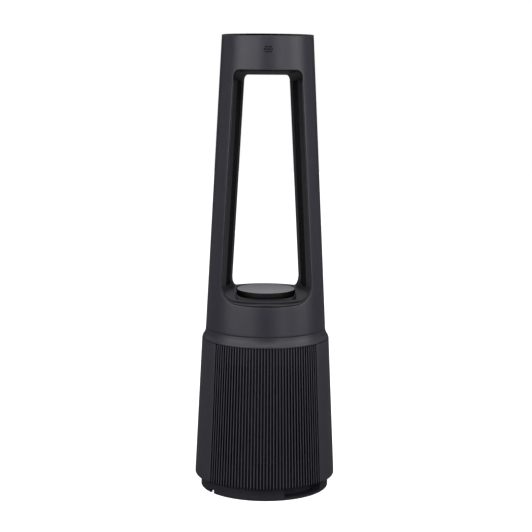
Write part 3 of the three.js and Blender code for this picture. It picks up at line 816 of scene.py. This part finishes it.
shellLook = {"rows": 18, "hole": 2.8, "floorHole": 3.5, "seamGap": 0.15, "topEdge": 1.3, "mouthEdge": 0.7}
holeLook = {"rows": (3, 4, 3), "radius": 2.05, "pitch": 5.65, "level": 1050, "front": -106, "depth": 16}
# Sizes of the black sheet that is painted shade behind the sensor's holes.
shadeSheetSizes = {"halfWidth": 12, "front": -104.3, "back": -103.5, "bottom": 1040, "top": 1060, "edge": 0.2}


def makeShell(name, node, side, look):
    bottom, top = tower["bottom"], tower["top"]
    middle = (bottom + top) / 2
    halfHeight = top - middle
    limit = 90 - math.degrees(look["seamGap"] / tower["topRadius"])

    def holeAt(z):
        return mix(look["hole"], look["floorHole"], floorShare(z))

    rim = []
    for x, z in outline:
        foundX, y, foundZ = tunnelAtTower(x, z, side, holeAt(z), 0)
        rim.append((math.degrees(math.asin(foundX / towerRadius(foundZ))), foundZ))
    # Each point of the mouth looks outwards to a point of the shell's own edge.
    edge = []
    for angle, z in rim:
        ray = Vector((angle / limit, (z - middle) / halfHeight))
        ray /= max(abs(ray.x), abs(ray.y))
        edge.append([ray.x * limit, middle + ray.y * halfHeight])
    for cornerX in (-1, 1):
        for cornerZ in (bottom, top):
            away = lambda p: abs(p[0] / limit - cornerX) + abs(p[1] - cornerZ) / halfHeight
            nearest = min(edge, key=away)
            nearest[0], nearest[1] = cornerX * limit, cornerZ

    def place(column, row, layer):
        column %= len(outline)
        under = tower["wall"] * layer
        x, z = outline[column]
        foundX, y, foundZ = tunnelAtTower(x, z, side, holeAt(z), under)
        angle = math.degrees(math.asin(foundX / (towerRadius(foundZ) - under)))
        share = row / look["rows"]
        angle = mix(angle, edge[column][0], share)
        level = mix(foundZ, edge[column][1], share)
        point = around(towerRadius(level) - under, angle, level)
        point.y *= -side
        return point

    bm = shellGrid(len(outline), look["rows"], place)

    def onTopEdge(edge):
        outside = all(v.co.xy.length > tower["topRadius"] - 0.5 for v in edge.verts)
        return outside and all(v.co.z > top - 0.01 for v in edge.verts)

    bevelEdges(bm, onTopEdge, look["topEdge"], 4)
    obj = meshObject(name, bm)
    easeEdges(obj, look["mouthEdge"], 2)
    if side < 0:
        combine(obj, sensorDrills(holeLook), "DIFFERENCE")
    settle(obj, "housing", [node], "charcoal_plastic", 40)


# Ten small holes in rows of three, four and three, in front of the room sensor.
def sensorDrills(look):
    bm = bmesh.new()
    hole = {"radius1": look["radius"], "radius2": look["radius"], "depth": look["depth"], "segments": 16}
    for row, count in enumerate(look["rows"]):
        z = look["level"] + (row - 1) * look["pitch"]
        for index in range(count):
            x = (index - (count - 1) / 2) * look["pitch"]
            turn = Matrix.Translation((x, look["front"], z)) @ Matrix.Rotation(math.pi / 2, 4, "X")
            bmesh.ops.create_cone(bm, cap_ends=True, matrix=turn, **hole)
    return meshObject("sensorDrills", bm)


# Painted shade: a black sheet close behind the sensor's holes, so that they look dark. It stands for no
# CAD node.
def makeSensorShadeSheet(look):
    low = (-look["halfWidth"], look["front"], look["bottom"])
    high = (look["halfWidth"], look["back"], look["top"])
    obj = meshObject("sensorShadeSheet", boxShape(low, high, look["edge"]))
    obj.data.materials.append(finishes["rubber"])
    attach(obj, "housing")


makeShell("towerFrontShell", "tower_front_shell", -1, shellLook)
makeShell("towerRearShell", "tower_rear_shell", 1, shellLook)
makeSensorShadeSheet(shadeSheetSizes)
print("tower shells made")


# ---- Ribbed covers ----

# Past the ribs, the tucked foot goes on for tuckPast degrees and the thick wall for wallPast.
coverShape = {
    "seam": 89.8,
    "plainSteps": 12,
    "ribWall": 6,
    "plainWall": 3,
    "wallPast": 4,
    "slot": 4.6,
    "slotRadius": 160,
    "slotBottom": 94,
    "slotTop": 318,
    "crestShare": 0.38,
    "tuck": 3.4,
    "plainTuck": 0.7,
    "tuckHeight": 7,
    "tuckPast": 0.7,
    "topEase": 0.7,
    "topEaseHeight": 1.2,
}
# Across half a rib either way, how far down into the groove its surface lies.
ribCrest = [(-0.97, 0.62), (-0.86, 0.3), (-0.55, 0.06), (0, 0), (0.55, 0.06), (0.86, 0.3), (0.97, 0.62)]
# Levels of the rows, close together where the foot and the top edge are rounded.
coverRows = [31.5, 31.9, 32.6, 33.7, 35.2, 37, 39.5, 60, 94, 150, 206, 262, 318, 340, 356, 361]
coverRows += [362.6, 363.4, 363.8]


def coverRadius(z):
    return cover["bottomRadius"] - cover["slope"] * (z - cover["bottom"])


# Columns round half of the housing: angle, share of the groove's depth, and whether air passes.
def coverColumns(look):
    pitch = ribs["pitch"]
    crestHalf = pitch * look["crestShare"] / 2
    grooveHalf = pitch / 2 - crestHalf
    slotHalf = math.degrees(look["slot"] / 2 / look["slotRadius"])
    first = -(ribs["grooves"] - 1) / 2 * pitch
    plainEnd = first - grooveHalf - 2 * crestHalf
    shares = [step / look["plainSteps"] for step in range(look["plainSteps"] + 1)]
    columns = [(mix(-look["seam"], plainEnd, share), 0, False) for share in shares]
    columns += [(plainEnd + crestHalf * (1 + phi), depth, False) for phi, depth in ribCrest if phi > 0]
    for groove in range(ribs["grooves"]):
        middle = first + groove * pitch
        columns.append((middle - grooveHalf, 1, False))
        columns.append((middle - slotHalf, 1, True))
        columns.append((middle + slotHalf, 1, False))
        columns.append((middle + grooveHalf, 1, False))
        if groove < ribs["grooves"] - 1:
            crest = middle + pitch / 2
            columns += [(crest + crestHalf * phi, depth, False) for phi, depth in ribCrest]
    columns += [(-plainEnd - crestHalf * (1 - phi), depth, False) for phi, depth in ribCrest if phi < 0]
    columns += [(mix(-plainEnd, look["seam"], share), 0, False) for share in shares]
    return columns


# How far a rounded edge has drawn in, from the edge (0) to where the straight part starts (1).
def quarterRound(reach, share):
    share = min(share, 1)
    return reach * (1 - math.sqrt(1 - (1 - share) ** 2))


def makeCover(name, node, turn, body, look):
    columns = coverColumns(look)
    ribbedEnd = ribs["grooves"] * ribs["pitch"] / 2

    def place(column, row, layer):
        angle, depth, passes = columns[column]
        z = coverRows[row]
        past = abs(angle) - ribbedEnd
        wall = look["ribWall"] if past < look["wallPast"] else look["plainWall"]
        if layer:
            return around(coverRadius(z) - wall, angle + turn, z)
        # The lower end of each rib curves in to the groove floor, and the top edge is eased.
        tuck = look["tuck"] if past < look["tuckPast"] else look["plainTuck"]
        curved = quarterRound(tuck, (z - cover["bottom"]) / look["tuckHeight"])
        eased = quarterRound(look["topEase"], (cover["top"] - z) / look["topEaseHeight"])
        inward = max(curved, ribs["depth"] * depth, eased)
        return around(coverRadius(z) - inward, angle + turn, z)

    def keep(column, row):
        z = (coverRows[row] + coverRows[row + 1]) / 2
        return not (columns[column][2] and look["slotBottom"] < z < look["slotTop"])

    bm = shellGrid(len(columns) - 1, len(coverRows) - 1, place, keep)
    settle(meshObject(name, bm), body, [node], "cover_plastic", 45)


makeCover("frontRibbedCover", "front_grille_cover", 0, "front_cover", coverShape)
makeCover("rearRibbedCover", "rear_grille_cover", 180, "rear_cover", coverShape)
print("ribbed covers made")


# ---- Shoulder between the ribbed housing and the tower ----

shoulderOutline = [
    (142.9, 388.6, 0.5),
    (143.3, 383, 6),
    (144.3, 379, 8),
    (146.3, 374, 8),
    (149.5, 369, 8),
    (151.4, 364.7, 1),
    (145, 364.7, 0.4),
    (145, 346.3, 0),
    (142, 346.3, 0),
    (142, 368, 2),
    (136, 376, 2),
    (136, 396, 0.4),
    (138.6, 396, 0.4),
    (138.6, 388.6, 0.3),
]
# The rib pattern fades out over the foot of the shoulder, on the part outside a radius.
fluteLook = {"depth": 1.6, "top": 371.5, "bottom": 364.4, "outside": 145.1, "fade": 1.5}


def makeShoulder(look):
    points = rounded(shoulderOutline, 4)
    half = [(angle, depth) for angle, depth, passes in coverColumns(coverShape)]
    columns = half + [(angle + 180, depth) for angle, depth in half]

    def place(column, row, layer):
        angle, depth = columns[column % len(columns)]
        radius, z = points[row % len(points)]
        share = min(max((look["top"] - z) / (look["top"] - look["bottom"]), 0), 1)
        flute = look["depth"] * share ** look["fade"] * depth if radius > look["outside"] else 0
        return around(radius - flute, angle, z)

    bm = placedGrid(len(columns), len(points), place)
    bmesh.ops.recalc_face_normals(bm, faces=bm.faces[:])
    settle(meshObject("shoulderRing", bm), "housing", ["shoulder_ring"], "charcoal_plastic", 40)


makeShoulder(fluteLook)


# ---- Top cap, floor panel and display ----

capOutline = [(0, 1076.9, 0), (103.7, 1076.9, 0), (103.7, 1079.4, 0.9), (60, 1079.9, 0), (0, 1080, 0)]
cap = lathe(rounded(capOutline))
settle(meshObject("topCap", cap), "housing", ["top_cap"], "gloss_black", 40)

panelSizes = {"halfWidth": 69.8, "halfDepth": 87.9, "bottom": 466, "top": 470, "edge": 0.8}
panelLow = (-panelSizes["halfWidth"], -panelSizes["halfDepth"], panelSizes["bottom"])
panelHigh = (panelSizes["halfWidth"], panelSizes["halfDepth"], panelSizes["top"])
panel = boxShape(panelLow, panelHigh, panelSizes["edge"])
settle(meshObject("floorPanel", panel), "housing", ["floor_panel"], "gloss_black")

drumOutline = [
    (66, 470.3, 0.3),
    (70, 470.3, 0.3),
    (70, 480.5, 0.7),
    (68.6, 480.5, 0.3),
    (68.6, 478.3, 0),
    (66, 478.3, 0),
]
drum = lathe(rounded(drumOutline))
settle(meshObject("displayDrum", drum), "housing", ["display_drum"], "inner_plastic")

discOutline = [(0, 478.6, 0), (68.3, 478.6, 0), (68.3, 480.4, 0.5), (0, 480.4, 0)]
disc = lathe(rounded(discOutline))
settle(meshObject("displayDisc", disc), "housing", ["display_disc"], "display_glass")
print("shoulder, cap and display made")


# ---- Base ----

baseOutline = [
    (147.3, 1.0, 0.3),
    (153, 1.0, 1.0),
    (153, 12.6, 0.1),
    (152.6, 12.9, 0.1),
    (153, 13.2, 0.1),
    (153, 29, 1.2),
    (84, 29, 0.8),
    (84, 26, 0.3),
    (150, 26, 1),
    (150, 7.7, 0.3),
    (147.3, 7.7, 0.3),
]
# The walls round the pocket and the notch end inside the skin, and the cuts go well past it.
wallReach = 151.4
cutReach = 160
pocketLook = {
    "from": 17,
    "to": 59,
    "inner": 129,
    "bottom": 7.5,
    "wall": 2.5,
    "floorWall": 1.4,
    "wallTop": 28,
    "cutTop": 40,
    "corner": 7,
    "steps": 42,
}
notchLook = {
    "angle": -55,
    "width": 14,
    "height": 11,
    "inner": 139,
    "wall": 2.5,
    "wallBottom": 6.1,
    "cutBottom": -4,
    "corner": 3,
}
bushHole = {"radius": 4.8, "depth": 12, "level": 7.6, "inward": 1}


# The space of the hand pocket, grown outwards by a wall.
def pocketSpace(look, grow, outer, top):
    growAngle = math.degrees(grow / look["inner"])
    ends = (look["from"] - growAngle, look["to"] + growAngle)
    bottom = look["bottom"] - (look["floorWall"] if grow else 0)
    inner = look["inner"] - grow

    def place(column, row, layer):
        radius = outer if layer else inner
        return around(radius, mix(*ends, column / look["steps"]), top if row else bottom)

    def atLowerCorner(edge):
        if any(v.co.z > bottom + 0.01 for v in edge.verts):
            return False
        angles = [math.degrees(math.atan2(v.co.x, -v.co.y)) for v in edge.verts]
        return any(all(abs(angle - end) < 0.01 for angle in angles) for end in ends)

    bm = shellGrid(look["steps"], 1, place)
    bevelEdges(bm, atLowerCorner, look["corner"] + grow, 8)
    return closeUp(bm)


# The space of the cord notch, grown outwards by a wall.
def notchSpace(look, grow, outer, bottom):
    wide = look["width"] / 2 + grow
    top = look["height"] + grow
    bm = boxShape((-wide, -outer, bottom), (wide, -look["inner"] + grow, top))

    def atUpperCorner(edge):
        first, second = (v.co for v in edge.verts)
        return min(first.z, second.z) > top - 0.01 and abs(first.x - second.x) < 0.01

    bevelEdges(bm, atUpperCorner, look["corner"] + grow, 5)
    turn = Matrix.Rotation(math.radians(look["angle"]), 3, "Z")
    bmesh.ops.rotate(bm, verts=bm.verts[:], matrix=turn)
    return closeUp(bm)


# The hole in the notch's inner wall for the cord bush.
def bushSpace(look):
    turn = Matrix.Rotation(math.radians(notchLook["angle"]), 4, "Z")
    turn = turn @ Matrix.Translation((0, look["inward"] - notchLook["inner"], look["level"]))
    turn = turn @ Matrix.Rotation(math.pi / 2, 4, "X")
    bm = bmesh.new()
    hole = {"radius1": look["radius"], "radius2": look["radius"], "depth": look["depth"], "segments": 32}
    bmesh.ops.create_cone(bm, cap_ends=True, matrix=turn, **hole)
    return bm


def makeBase(pocket, notch):
    obj = meshObject("baseHousing", lathe(rounded(baseOutline), 216))
    steps = (
        ("pocketWalls", pocketSpace(pocket, pocket["wall"], wallReach, pocket["wallTop"]), "UNION"),
        ("notchWalls", notchSpace(notch, notch["wall"], wallReach, notch["wallBottom"]), "UNION"),
        ("pocketSpace", pocketSpace(pocket, 0, cutReach, pocket["cutTop"]), "DIFFERENCE"),
        ("notchSpace", notchSpace(notch, 0, cutReach, notch["cutBottom"]), "DIFFERENCE"),
        ("bushSpace", bushSpace(bushHole), "DIFFERENCE"),
    )
    for name, shape, operation in steps:
        combine(obj, meshObject(name, shape), operation)
    settle(obj, "base", ["base_housing"], "base_plastic")


makeBase(pocketLook, notchLook)

footOutline = [(118, 1.2, 0.1), (118, 0, 0.4), (134, 0, 0.4), (134, 1.2, 0.1)]
foot = lathe(rounded(footOutline))
settle(meshObject("footRing", foot), "base", ["foot_ring"], "rubber")
print("base made")


# ---- Floor, light and camera ----

# Sizes in metres, clouds in millimetres. The world's bands are heights and depths on the unit sphere.
studio = {
    "floorSize": 14,
    "floorGlow": 1.05,
    "floorColours": ("f4f4f5", "fbfbfb"),
    "floorRoughness": 0.9,
    "cloud": 900,
    "backdrop": 1.0,
    "fillColour": (0.95, 0.95, 1, 1),
    "lampColour": (0.97, 0.97, 1),
    "above": {"strength": 0.3, "height": (0.25, 0.5)},
    "behind": {"strength": 0.3, "starts": (0.06, 0.13), "ends": (0.24, 0.4), "depth": (0.4, 0.8)},
    "below": {"strength": 0.12, "height": (-0.15, -0.02)},
    "softboxes": (
        {"angle": -31, "height": 1.3, "energy": 15, "size": (1.1, 2.4)},
        {"angle": 31, "height": 1.3, "energy": 15, "size": (1.1, 2.4)},
        {"angle": -64, "height": 1.4, "energy": 23, "size": (1.4, 2.4)},
        {"angle": 71, "height": 1.4, "energy": 25, "size": (1.5, 2.4)},
        {"angle": -122, "height": 1.2, "energy": 0.9, "size": (1.2, 2.0)},
        {"angle": 122, "height": 1.2, "energy": 0.9, "size": (1.2, 2.0)},
    ),
    "softboxDistance": 2.3,
    "overhead": {"energy": 22, "size": (2, 2), "position": (0, -2, 3), "target": (0, 0, 0.6)},
}


def makeFloor(look):
    bm = bmesh.new()
    halfWidth = look["floorSize"] * 1000 / 2
    bmesh.ops.create_grid(bm, x_segments=1, y_segments=1, size=halfWidth)
    floor = meshObject("floor", bm)
    material, tree, shader, place = newFinish("paleFloor")
    cloud = noise(tree, place, look["cloud"])
    first, second = map(linear, look["floorColours"])
    pale = mixColours(tree, cloud, first, second)
    recolour(tree, shader, pale)
    tree.links.new(pale, shader.inputs["Emission Color"])
    shader.inputs["Emission Strength"].default_value = look["floorGlow"]
    shader.inputs["Roughness"].default_value = look["floorRoughness"]
    floor.data.materials.append(material)
    # The floor is only a plain ground for the picture, and doesn't light the object from below.
    floor.visible_diffuse = False
    floor.visible_glossy = False
    floor.visible_shadow = False


# Soft light from well above the horizon, a little from below it and behind, and none level with it.
def makeWorld(look):
    world = bpy.data.worlds.new("studio")
    bpy.context.scene.world = world
    world.use_nodes = True
    tree = world.node_tree
    output = tree.nodes["World Output"]
    seen = addNode(tree, "Background", {"Color": (1, 1, 1, 1), "Strength": look["backdrop"]})
    axes = addNode(tree, "SeparateXYZ", {0: addNode(tree, "TexCoord").outputs["Generated"]}).outputs
    above, behind, below = look["above"], look["behind"], look["below"]
    high = spread(tree, axes["Z"], 0.0, above["strength"], *above["height"])
    low = spread(tree, axes["Z"], below["strength"], 0.0, *below["height"])
    starting = spread(tree, axes["Z"], 0.0, behind["strength"], *behind["starts"])
    ending = spread(tree, axes["Z"], 1.0, 0.0, *behind["ends"])
    rear = spread(tree, axes["Y"], 0.0, 1.0, *behind["depth"])
    band = calculate(tree, "MULTIPLY", calculate(tree, "MULTIPLY", starting, ending), rear)
    strength = calculate(tree, "ADD", calculate(tree, "ADD", high, low), band)
    fill = addNode(tree, "Background", {"Color": look["fillColour"], "Strength": strength})
    ray = addNode(tree, "LightPath").outputs["Is Camera Ray"]
    both = addNode(tree, "MixShader", {0: ray, 1: fill.outputs[0], 2: seen.outputs[0]})
    tree.links.new(both.outputs[0], output.inputs["Surface"])


def lamp(name, energy, size, position, target):
    data = bpy.data.lights.new(name, "AREA")
    data.shape = "RECTANGLE"
    data.size, data.size_y = size
    data.energy = energy
    data.color = studio["lampColour"]
    obj = bpy.data.objects.new(name, data)
    obj.location = position
    obj.rotation_euler = (target - position).to_track_quat("-Z", "Y").to_euler()
    bpy.context.scene.collection.objects.link(obj)


def makeLamps(look):
    for index, box in enumerate(look["softboxes"]):
        position = around(look["softboxDistance"], box["angle"], box["height"])
        target = Vector((0, 0, box["height"]))
        lamp("softbox" + str(index + 1), box["energy"], box["size"], position, target)
    top = look["overhead"]
    lamp("overhead", top["energy"], top["size"], Vector(top["position"]), Vector(top["target"]))


makeFloor(studio)
makeWorld(studio)
makeLamps(studio)
print("studio made")

# The camera's place in metres, its tilts in degrees and its lens in millimetres.
view = {"position": (-0.061, -3.8845, 1.181), "pitch": 9.45, "roll": 0.45, "lens": 111.99}


def makeCamera(look):
    data = bpy.data.cameras.new("camera")
    data.lens = look["lens"]
    data.sensor_width = 36
    obj = bpy.data.objects.new("camera", data)
    bpy.context.scene.collection.objects.link(obj)
    position = Vector(look["position"])
    level = Vector((-position.x, -position.y, 0)).normalized()
    pitch = math.radians(look["pitch"])
    forward = level * math.cos(pitch) - Vector((0, 0, math.sin(pitch)))
    right = forward.cross(Vector((0, 0, 1))).normalized()
    up = right.cross(forward)
    roll = math.radians(look["roll"])
    rolledUp = up * math.cos(roll) - right * math.sin(roll)
    rolledRight = right * math.cos(roll) + up * math.sin(roll)
    axes = Matrix((rolledRight, rolledUp, -forward)).transposed().to_4x4()
    obj.matrix_world = Matrix.Translation(position) @ axes
    bpy.context.scene.camera = obj
    bpy.context.scene.view_settings.view_transform = "Standard"


makeCamera(view)
print("camera set")
